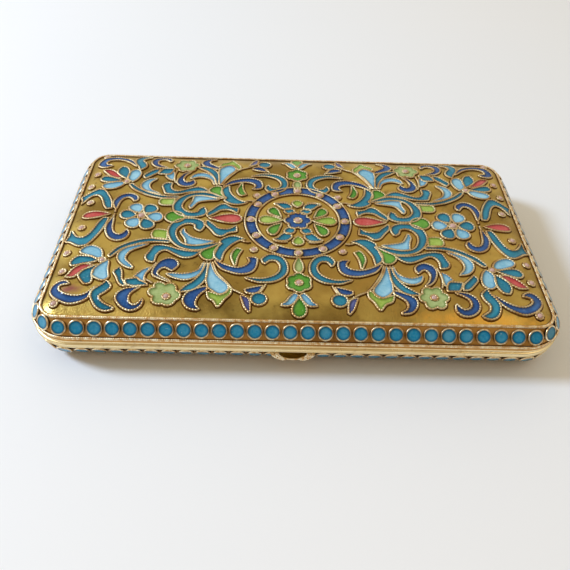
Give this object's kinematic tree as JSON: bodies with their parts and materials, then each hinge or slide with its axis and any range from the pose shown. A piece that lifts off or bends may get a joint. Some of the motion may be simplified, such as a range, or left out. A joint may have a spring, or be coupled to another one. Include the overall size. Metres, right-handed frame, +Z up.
{
  "type": "enamel cigarette case",
  "caption": "Cushion-shaped gilt cigarette case, hinged along one long side, with scroll and flower cell enamel in blues, greens and coral and a border of turquoise circles.",
  "frame": {"origin": "middle of the underside, on the plane of the raised ornament that the case rests on", "axes": "+X along the case's length, -Y towards the thumb notch, +Y towards the hinge, +Z up through the lid"},
  "size_m": [0.1014, 0.0573, 0.0125],
  "materials": {
    "gilt": "gilt silver, matted ground between polished beaded wires, with cell enamel fused flush with them",
    "gilt_wire": "drawn wire, polished"
  },
  "bodies": {
    "base_body": {"base": "gilt", "hinge_pin": "gilt_wire"},
    "lid_body": {"lid": "gilt"}
  },
  "joints": [
    {"name": "lid_hinge", "type": "hinge", "parent": "base_body", "child": "lid_body", "pos_m": [0, 0.0281, 0.00546], "axis": [-1, 0, 0], "range_deg": [0, 170]}
  ]
}
